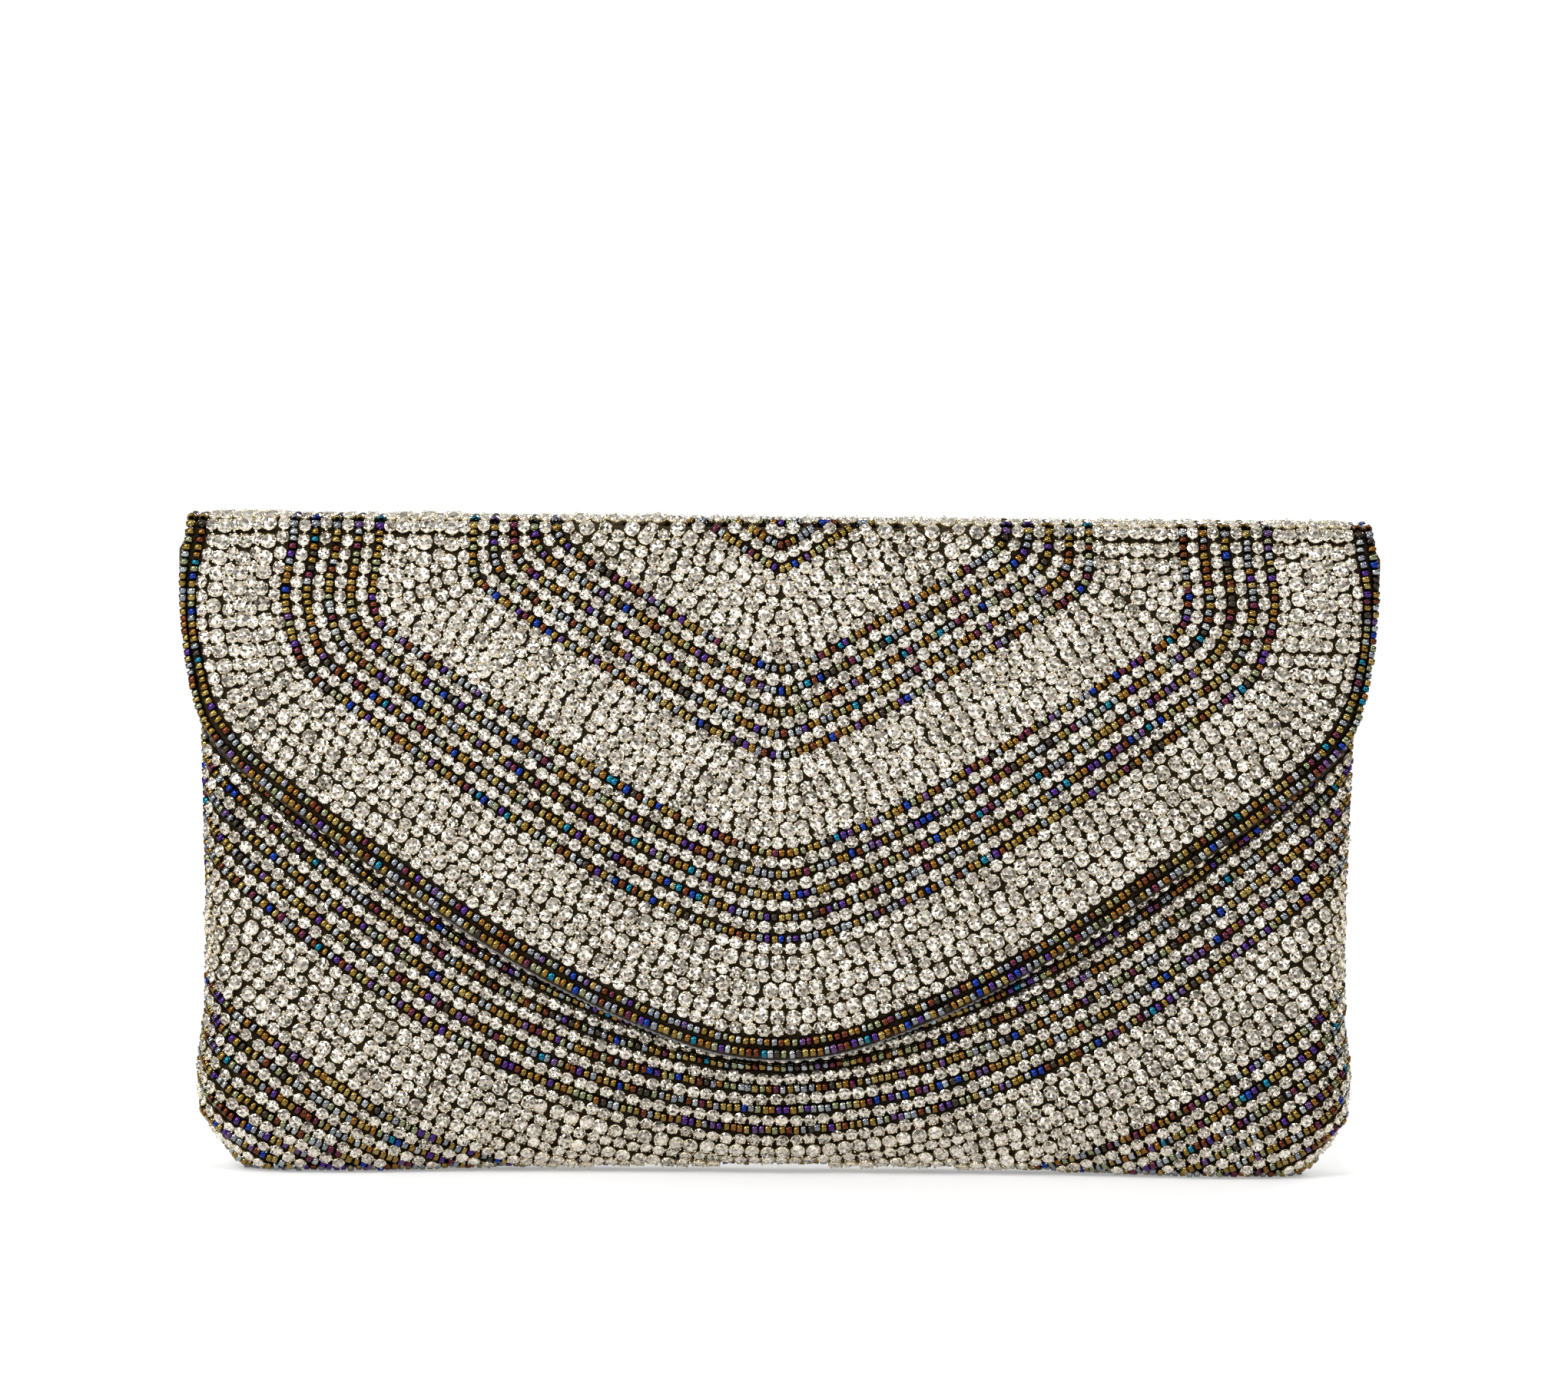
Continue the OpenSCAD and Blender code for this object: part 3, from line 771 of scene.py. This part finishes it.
def lay_seams():
    """Rows of seed beads down the side seams and along the bottom edge."""
    for sign, piece in ((-1, "left_seam_beads"), (1, "right_seam_beads")):
        z = np.arange(BASE_Z + 1.2, MOUTH_Z - 0.5, LINE_STEP)
        for y in (-1.05, 1.05):
            line = xyz(sign * (half_width(z) - 0.15), MID_Y + y, z)
            lay_free_row(piece, line, [sign, 0.25 * np.sign(y), 0.0])
        # one more row where the back's pattern stops short of the seam
        z = np.arange(117.0, 137.0, LINE_STEP)
        depth = 3.2
        turn = np.arccos((depth / full_depth(z, 1)) ** (1 / ROLL_POWER))
        x = half_width(z) - SIDE_ROLL + SIDE_ROLL * np.sin(turn)
        lay_free_row(piece, xyz(sign * x, MID_Y + depth, z), [sign * 0.8, 0.6, 0.0])
    x = np.arange(-121.0, 121.1, LINE_STEP)
    for k in range(-3, 4):
        y = k * 1.95
        beyond = np.maximum(abs(y) - foot_depth(x), 0)
        line = xyz(x, MID_Y + y, bottom_z(x) + 0.1 + 0.9 * beyond)
        for stretch in runs(line, foot_depth(x) + 1.0 > abs(y), False):
            lay_free_row("base_beads", stretch, [0.0, 0.35 * k / 3, -1.0])


lay_pattern()
lay_front()
lay_seams()


# ---- one bead and one stone ----

def ring_points(profile, sides, axis):
    """Rings of points round axis 0 or 2: profile rows are (along the axis, radius)."""
    angle = np.arange(sides) * 2 * np.pi / sides
    rings = [xyz(along, radius * np.cos(angle), radius * np.sin(angle)) for along, radius in profile]
    return np.roll(np.concatenate(rings), axis, axis=1)


class Template:
    """A shape that is set many times: points, and faces with their material number and smoothing."""

    def __init__(self):
        self.points = np.empty((0, 3))
        self.tris, self.quads = [], []

    def add(self, points, quads=(), tris=(), material=0, smooth=True):
        for faces, kept in ((quads, self.quads), (tris, self.tris)):
            kept += [(np.asarray(f) + len(self.points), material, smooth) for f in faces]
        self.points = np.concatenate([self.points, points])

    def build(self, copies):
        """The faces of all the copies, with their materials and smoothing."""
        shift = (np.arange(copies) * len(self.points))[:, None, None]
        parts, ids, smooth = [], [], []
        for kept in (self.tris, self.quads):
            if kept:
                corners, materials, smooths = zip(*kept)
                parts.append((np.stack(corners) + shift).reshape(-1, len(corners[0])))
                ids.append(np.tile(materials, copies))
                smooth.append(np.tile(smooths, copies))
        return parts, np.concatenate(ids), np.concatenate(smooth)


def bead_template():
    """A short rounded tube of glass, one across, with its ends turned into the hole."""
    shape = Template()
    profile = [(-0.40, 0.40), (-0.50, 0.66), (-0.34, 0.97), (0.34, 0.97), (0.50, 0.66), (0.40, 0.40)]
    sides = 10
    shape.add(ring_points(profile, sides, 0), grid_faces(len(profile), sides, closed=True))
    return shape


def stone_template(pitch_over_radius):
    """A faceted round stone in a cup with four claws, on its length of chain."""
    shape = Template()
    eighth = np.pi / 4
    points = []
    # the table, the star and the girdle: corners, radius, height, and turn in eighths
    for corners, radius, height, turn in ((8, 0.50, 1.06, 0), (8, 0.74, 0.975, 0.5), (16, 0.97, 0.80, 0)):
        for k in range(corners):
            angle = (k + turn) * eighth * 8 / corners
            points.append((radius * math.cos(angle), radius * math.sin(angle), height))
    points.append((0.0, 0.0, 0.89))
    tris, quads = [], []
    for k in range(8):
        n = (k + 1) % 8
        tris += [(32, k, n), (k, 8 + k, n)]
        tris += [(8 + k, 16 + 2 * k, 16 + 2 * k + 1), (8 + k, 16 + 2 * k + 1, 16 + (2 * k + 2) % 16)]
        quads += [(k, 8 + (k - 1) % 8, 16 + 2 * k, 8 + k)]
    shape.add(points, quads, tris, 0, smooth=False)
    cup = [(-0.45, 0.66), (0.36, 0.95), (0.77, 0.99), (0.83, 0.93)]
    shape.add(ring_points(cup, 12, 2), grid_faces(len(cup), 12, closed=True), (), 1, True)
    for k in range(4):
        angle = eighth + k * 2 * eighth
        c, s = math.cos(angle), math.sin(angle)
        rows = [(0.98, 0.30, 0.09), (1.04, 0.80, 0.12), (0.93, 1.04, 0.13)]
        claw = []       # three sections by radius, height and half width, then the tip
        for radius, height, half in rows:
            for dr, dt in ((-0.10, -half), (0.03, -half), (0.03, half), (-0.10, half)):
                r = radius + dr
                claw.append((r * c - dt * s, r * s + dt * c, height + (0.06 if dr > 0 else -0.04)))
        claw.append((0.76 * c, 0.76 * s, 1.00))
        tris = [(8 + q, 8 + (q + 1) % 4, 12) for q in range(4)]
        shape.add(claw, grid_faces(len(rows), 4, closed=True), tris, 1, True)
    half = pitch_over_radius / 2
    section = ((-0.17, 0.22), (0.17, 0.22), (0.17, 0.46), (-0.17, 0.46))
    bar = [(x, y, z) for x in (-half, half) for y, z in section]
    shape.add(bar, grid_faces(2, 4, closed=True), [(0, 2, 1), (0, 3, 2), (4, 5, 6), (4, 6, 7)], 1, False)
    return shape


TEMPLATES = {
    "bead": bead_template(),
    "small": stone_template(SMALL_PITCH / (SMALL_D / 2)),
    "large": stone_template(LARGE_PITCH / (LARGE_D / 2)),
}


def turned(tangent, normal, lean, spin):
    """Frames with a small random lean and a turn about the normal."""
    x = unit(tangent - (tangent * normal).sum(-1, keepdims=True) * normal)
    y = np.cross(normal, x)
    tip = rng.normal(0, lean, (len(x), 2))
    z = unit(normal + tip[:, :1] * x + tip[:, 1:] * y)
    around = rng.normal(0, spin, (len(x), 1))
    x2 = unit(x * np.cos(around) + y * np.sin(around))
    x2 = unit(x2 - (x2 * z).sum(-1, keepdims=True) * z)
    return np.stack([x2, np.cross(z, x2), z], 1)


def instances(kind, here, normal, tangent):
    n = len(here)
    diameter, pitch = KINDS[kind]
    if kind == "bead":
        frames = turned(tangent, normal, 0.05, 0.07)
        girth = diameter / 2 * (1 + rng.normal(0, 0.045, n))
        length = pitch * 0.93 * (1 + rng.normal(0, 0.09, n))
        size = np.stack([length, girth, girth], -1)
        lift = girth - 0.12 + rng.normal(0, 0.06, n)
        drift = 0.09
    else:
        frames = turned(tangent, normal, 0.085, 0.10)
        r = diameter / 2 * (1 + rng.normal(0, 0.02, n))
        size = np.stack([r * ALONG[kind], r, r], -1)
        lift = STONE_LIFT[kind] + rng.normal(0.0, 0.10, n)
        drift = 0.11
    local = TEMPLATES[kind].points * size[:, None, :]
    placed = np.einsum("nij,nik->njk", frames, local.transpose(0, 2, 1)).transpose(0, 2, 1)
    slip = rng.normal(0, drift, (n, 2))
    centre = here + normal * lift[:, None] + frames[:, 0] * slip[:, :1] + frames[:, 1] * slip[:, 1:]
    return placed + centre[:, None, :]


def bead_tints_and_stone_glints(kind, copies, faces_each):
    """One tint for a whole bead; for a stone, a different one on every facet, painted as a glint."""
    whole = rng.random((copies, 1))
    if kind == "bead":
        return np.repeat(whole, faces_each[0])
    return np.concatenate([np.clip(0.72 * rng.random((copies, count)) + 0.28 * whole, 0, 1).ravel()
                           for count in faces_each])


RIM_SHADE = (0.25, 0.50, 1.0, 0.50, 0.25)      # from the hole's edge over the bead and back


def rim_shades(kind, copies, faces_each):
    """Beads are darker towards their two ends, where they shade each other."""
    if kind != "bead":
        return np.ones(copies * sum(faces_each))
    return np.tile(np.repeat(RIM_SHADE, faces_each[0] // len(RIM_SHADE)), copies)


def make_rows(name, groups, kinds, materials):
    """Joins every bead, or every stone, of one band into one piece."""
    made, faces, start = [], [], 0
    for kind, here, normal, tangent in groups:
        if kind in kinds:
            placed = instances(kind, here, normal, tangent).reshape(-1, 3)
            copies = len(here)
            parts, ids, smooth = TEMPLATES[kind].build(copies)
            faces += [p + start for p in parts]
            faces_each = [len(p) // copies for p in parts]
            made.append((placed, ids, smooth, bead_tints_and_stone_glints(kind, copies, faces_each),
                         rim_shades(kind, copies, faces_each)))
            start += len(placed)
    if not made:
        return None
    points, ids, smooth, tint, rim = [np.concatenate(column) for column in zip(*made)]
    return new_piece(name, points, faces, ids, materials, smooth, {"tint": tint, "rim_shade": rim})


BODY_OF = {"flap": "flap", "strip": "fold_strip"}       # the other rows ride on the purse
NODE_OF = {"flap_border": "flap_border_beads", "back_border": "back_rim_beads"}


def cad_node(name):
    if name.startswith("strip"):
        return "fold_stones" if name.endswith("stones") else "fold_beads"
    return NODE_OF.get(name, name)


for name, groups in collected.items():
    body = BODY_OF.get(name.split("_")[0], "purse")
    for kinds, label, materials, slot in ((("bead",), "seed_rows", [BEADS], "beads"),
                                          (STONE_KINDS, "stone_rows", [STONES, SETTINGS], "stones")):
        piece = make_rows(f"{name}.{label}", groups, kinds, materials)
        if piece is not None:
            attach(piece, body)
            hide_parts(cad_node(name))


# ---- cloth ----


def slab(name, outer, inner, material):
    """A closed sheet between two grids of points of the same size."""
    rows, columns = outer.shape[:2]
    points = np.concatenate([outer.reshape(-1, 3), inner.reshape(-1, 3)])
    n = rows * columns
    faces = [grid_faces(rows, columns), grid_faces(rows, columns, flip=True, start=n)]
    index = np.arange(n).reshape(rows, columns)
    rim = np.concatenate([index[0, :], index[1:, -1], index[-1, -2::-1], index[-2:0:-1, 0]])
    after = np.roll(rim, -1)
    faces.append(np.stack([after, rim, rim + n, after + n], -1))
    return new_piece(name, points, faces, materials=[material])


def tube_faces(rows, sides, flip=False, start=0):
    """The faces of a tube of rings, and the two that close its ends."""
    first = start + np.arange(sides)
    last = first + (rows - 1) * sides
    ends = np.array([first, last[::-1]] if flip else [first[::-1], last])
    return [grid_faces(rows, sides, closed=True, flip=flip, start=start), ends]


def stand_for(piece, body, node):
    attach(piece, body)
    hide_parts(node)


def make_body():
    """Cloth, board and lining of the front and the back, each from side seam to side seam."""
    for label, insets, low_t, reach, counts, material, node, slot in (
            ("cloth", (0.0, CLOTH_T), 0, 1, (181, 121), CLOTH, "panel", "cloth"),
            ("stiffener", (0.85, 2.0), 0.2, 0.9, (91, 61), BOARD, "board", "board"),
            ("satin", (2.1, 2.6), 0, 1, (181, 121), LINING, "lining", "lining")):
        a = np.linspace(-reach, reach, counts[0])[None, :]
        t = np.linspace(low_t, 1, counts[1])[:, None]
        for side, face, cloth_top in ((-1, "front", MOUTH_Z), (1, "back", BACK_TOP)):
            top = MOUTH_Z - 1 if slot == "board" else cloth_top
            grids = [body_points(a, t, side, inset, top)[:, ::-side] for inset in insets]
            piece = slab(f"{face}_{label}", *grids, material)
            stand_for(piece, "purse", f"{face}_{node}")


make_body()


def make_flap():
    """Cloth, board and lining of the flap, from its point to just short of the fold line."""
    half = HALF_EDGE[HALF_EDGE[:, 1] < FLAP_DROP - 1.0]
    s = np.linspace(-1, 1, 141)
    for name, out, inn, inset, material, node, slot in (
            ("flap_cloth", CLOTH_OUT, 0.1, 0.0, CLOTH, "flap_panel", "cloth"),
            ("flap_stiffener", 0.05, -0.75, 1.4, BOARD, "flap_board", "board"),
            ("flap_satin", -0.8, -1.3, 1.0, LINING, "flap_lining", "lining")):
        v = inset + (FLAP_DROP - 1.0 - inset) * np.linspace(0, 1, 90) ** 1.6
        reach = np.interp(v - inset * 0.8, half[:, 1], half[:, 0]) - inset * 0.8
        u = np.maximum(reach, 0.5)[:, None] * s
        piece = slab(name, flap_points(u, v[:, None], out), flap_points(u, v[:, None], inn), material)
        stand_for(piece, "flap", node)


make_flap()


def fold_profile(radius):
    """Section of the cloth round one fold line: down the wall, round the corner and along the top."""
    wall = [(-radius, -d) for d in np.linspace(1.05, 0.6, 6)]
    corner = [(-radius * math.cos(q), radius * math.sin(q)) for q in np.linspace(0, np.pi / 2, 9)]
    top = [(d, radius) for d in np.linspace(0.6, STRIP_W / 2, 6)]
    return np.array(wall + corner + top)


def make_folds():
    """Cloth and lining over the two folds, each in two halves with one fold in each."""
    for label, fold, sign, bodies in (("front", FRONT_FOLD, 1, ("fold_strip", "flap")),
                                      ("rear", REAR_FOLD, -1, ("purse", "fold_strip"))):
        for kind, radii, half_w, material, node, slot in (
                ("cloth", (CLOTH_T, 0.05), FLAP_HALF_W - 1.8, CLOTH, "fold_cloth", "cloth"),
                ("satin", (-0.3, -0.7), FLAP_HALF_W - 3.5, LINING, "fold_lining", "lining")):
            x = np.linspace(-half_w, half_w, 61)
            grids = []
            for radius in radii:
                section = fold_profile(radius)
                y = fold[1] + sign * section[:, :1]
                z = FOLD_Z + section[:, 1:]
                grids.append(xyz(x, y, z)[:, ::sign])
            piece = slab(f"{label}_fold_{kind}", *grids, material)
            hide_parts(node)
            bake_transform(piece)


make_folds()


def make_twisted_cord():
    """Two strands laid round each other, sewn along the flap's edge."""
    strand_r, lay, pitch, sides = 0.42, 0.40, 3.4, 7
    line = resample(mirrored(HALF_EDGE[HALF_EDGE[:, 1] < FLAP_DROP - 12]), 0.45)
    normal = unit(np.stack([-np.gradient(line[:, 1]), np.gradient(line[:, 0])], -1))
    tucked = 1.3 - 1.1 * smoothstep(line[:, 0], -95, -70) * (1 - smoothstep(line[:, 0], 45, 75))
    line = line + normal * tucked[:, None]
    centre = flap_points(line[:, 0], line[:, 1], -1.0)
    along = unit(np.gradient(centre, axis=0))
    out = unit(flap_points(line[:, 0], line[:, 1], 1.0) - centre)
    out = unit(out - (out * along).sum(-1, keepdims=True) * along)
    side = np.cross(along, out)
    turn = (lengths_along(centre) / pitch * 2 * np.pi)[:, None]
    angle = (np.arange(sides) * 2 * np.pi / sides)[None, :, None]
    ring = strand_r * (np.cos(angle) * out[:, None] + np.sin(angle) * side[:, None])
    points, faces = [], []
    for k in range(2):
        phase = turn + k * np.pi
        middle = centre + lay * (np.cos(phase) * out + np.sin(phase) * side)
        points.append((middle[:, None] + ring).reshape(-1, 3))
        faces += tube_faces(len(middle), sides, start=k * len(middle) * sides)
    piece = new_piece("twisted_edge_cord", np.concatenate(points), faces, materials=[CORD])
    stand_for(piece, "flap", "flap_edge_cord")


make_twisted_cord()


def make_pocket_and_binding():
    """The slip pocket on the back lining and the satin binding along the front of the mouth."""
    a = np.linspace(-0.44, 0.44, 61)[None, :]
    t = np.linspace(0.40, 0.88, 41)[:, None]
    grids = [body_points(a, t, 1, inset)[:, ::-1] for inset in (2.7, 3.2)]
    piece = slab("pocket_satin", *grids, LINING)
    stand_for(piece, "purse", "slip_pocket")
    low, high = node_box("front_mouth_binding")
    y0, y1, z0, z1 = low[1], high[1], low[2] - 1.2, high[2]
    section = [(y0 - 0.1, z0), (y0 - 0.15, z0 + 1.3), (y0 + 0.5, z1 - 0.1), ((y0 + y1) / 2, z1),
               (y1 - 0.5, z1 - 0.1), (y1 + 0.1, z0 + 1.3), (y1 + 0.05, z0), ((y0 + y1) / 2, z0 + 0.4)]
    rings = [(x, y, z + 0.06 * math.sin(x * 1.7))
             for x in np.linspace(low[0], high[0], 121) for y, z in section]
    faces = tube_faces(len(rings) // len(section), len(section), flip=True)
    piece = new_piece("mouth_binding_satin", rings, faces, materials=[LINING])
    stand_for(piece, "purse", "front_mouth_binding")


make_pocket_and_binding()


# ---- CAD nodes that stay ----

for node in ("snap_socket", "socket_washer", "snap_stud", "stud_washer", "base_board"):
    material, slot = (BOARD, "board") if node == "base_board" else (NICKEL, "nickel")
    piece = frame["nodes"][node]
    piece.data.materials.clear()
    piece.data.materials.append(material)


# ---- floor and light ----

def make_floor():
    # painted light: the floor glows, dimmest near the middle under the bag and brighter further out
    material, tree, shader = new_material(
        "floor", **{"Roughness": 0.9, "Base Color": (0.6, 0.6, 0.6, 1), "Emission Strength": 1.0})
    place = add_node(tree, "ShaderNodeTexCoord")
    length = add_node(tree, "ShaderNodeVectorMath", operation="LENGTH")
    link(place.outputs["Object"], length.inputs[0])
    glow = ramp(tree, length.outputs["Value"], [(0.28, (0.32, 0.32, 0.32)), (1.0, (0.82, 0.82, 0.82))])
    link(glow, shader.inputs["Emission Color"])
    half = 4 / MM
    corners = [(-half, -half, 0), (half, -half, 0), (half, half, 0), (-half, half, 0)]
    new_piece("floor", corners, [[(0, 1, 2, 3)]], materials=[material], smooth=False)


def area_light(name, azimuth, elevation, size, power, distance=1.3):
    data = bpy.data.lights.new(name, "AREA")
    data.shape = "DISK"
    data.size = size
    data.energy = power
    light = add_object(name, data)
    a, e = math.radians(azimuth), math.radians(elevation)
    light.location = direction(a, e) * distance + np.array([0, 0, 0.07])
    light.rotation_euler = (math.pi / 2 - e, 0, a)


def make_light():
    """Soft boxes all round, and a world that the camera sees as white and the beads as a studio."""
    for light in (
            ("front_box", -8, 20, 0.30, 2.8),
            ("left_box", -52, 18, 0.35, 6.6),
            ("right_box", 50, 34, 0.35, 3.0),
            ("front_top_box", 0, 62, 0.4, 3.3),
            ("back_box", 172, 20, 0.30, 3.6),
            ("back_left_box", -132, 34, 0.35, 3.4),
            ("back_right_box", 130, 30, 0.35, 3.8),
            ("left_near_box", -40, 34, 0.12, 0.8, 0.5)):
        area_light(*light)
    world = bpy.data.worlds.new("studio")
    bpy.context.scene.world = world
    world.use_nodes = True
    tree = world.node_tree
    tree.nodes.clear()
    place = add_node(tree, "ShaderNodeTexCoord")
    split = add_node(tree, "ShaderNodeSeparateXYZ")
    link(place.outputs["Generated"], split.inputs[0])
    height = add_node(tree, "ShaderNodeMath", operation="MULTIPLY_ADD")
    height.inputs[1].default_value = 0.5
    height.inputs[2].default_value = 0.5
    link(split.outputs["Z"], height.inputs[0])
    greys = [(0.0, 0.8), (0.50, 0.20), (0.58, 0.16), (0.72, 0.42), (1.0, 1.0)]
    studio = add_node(tree, "ShaderNodeBackground", Strength=1.0)
    sky = ramp(tree, height.outputs[0], [(at, (grey, grey, grey)) for at, grey in greys])
    link(sky, studio.inputs["Color"])
    white = add_node(tree, "ShaderNodeBackground", Strength=1.0, Color=(1, 1, 1, 1))
    seen = add_node(tree, "ShaderNodeLightPath")
    mix = add_node(tree, "ShaderNodeMixShader")
    link(seen.outputs["Is Camera Ray"], mix.inputs[0])
    link(studio.outputs[0], mix.inputs[1])
    link(white.outputs[0], mix.inputs[2])
    out = add_node(tree, "ShaderNodeOutputWorld")
    link(mix.outputs[0], out.inputs["Surface"])
    bpy.context.scene.view_settings.view_transform = "Standard"


make_floor()
make_light()
